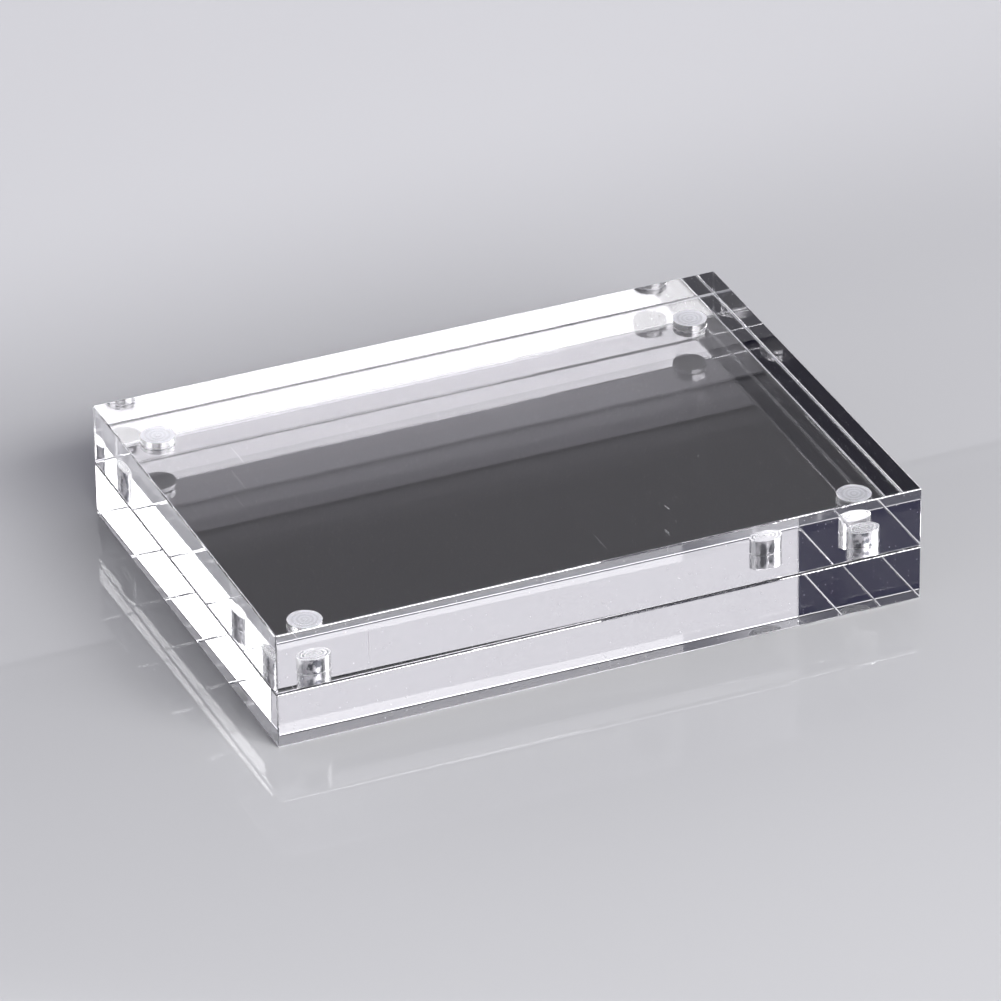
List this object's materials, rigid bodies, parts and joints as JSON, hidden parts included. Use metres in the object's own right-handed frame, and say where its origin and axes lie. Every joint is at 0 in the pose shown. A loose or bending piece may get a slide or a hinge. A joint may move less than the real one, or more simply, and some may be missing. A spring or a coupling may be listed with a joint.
{
  "type": "acrylic block photo frame",
  "caption": "Free-standing clear acrylic photo frame: two thick polished blocks that clamp a print between them with disc magnets glued into both blocks near the corners.",
  "frame": {"origin": "middle of the back block's outer face, the face the frame lies on", "axes": "+X along the long side, +Y along the short side towards the top edge of the standing frame, +Z out of the front block's face"},
  "size_m": [0.178, 0.128, 0.0326],
  "materials": {
    "acrylic": "polished",
    "magnet_nickel": "satin",
    "glue": "satin"
  },
  "bodies": {
    "back_half": {"back_block": "acrylic", "back_magnet_bottom_left": "magnet_nickel", "back_magnet_bottom_right": "magnet_nickel", "back_magnet_top_left": "magnet_nickel", "back_magnet_top_right": "magnet_nickel", "back_glue_bottom_left": "glue", "back_glue_bottom_right": "glue", "back_glue_top_left": "glue", "back_glue_top_right": "glue"},
    "front_half": {"front_block": "acrylic", "front_magnet_bottom_left": "magnet_nickel", "front_magnet_bottom_right": "magnet_nickel", "front_magnet_top_left": "magnet_nickel", "front_magnet_top_right": "magnet_nickel", "front_glue_bottom_left": "glue", "front_glue_bottom_right": "glue", "front_glue_top_left": "glue", "front_glue_top_right": "glue"}
  },
  "joints": [
    {"name": "front_lift", "type": "slide", "parent": "back_half", "child": "front_half", "axis": [0, 0, 1], "range_m": [0, 0.05]}
  ]
}
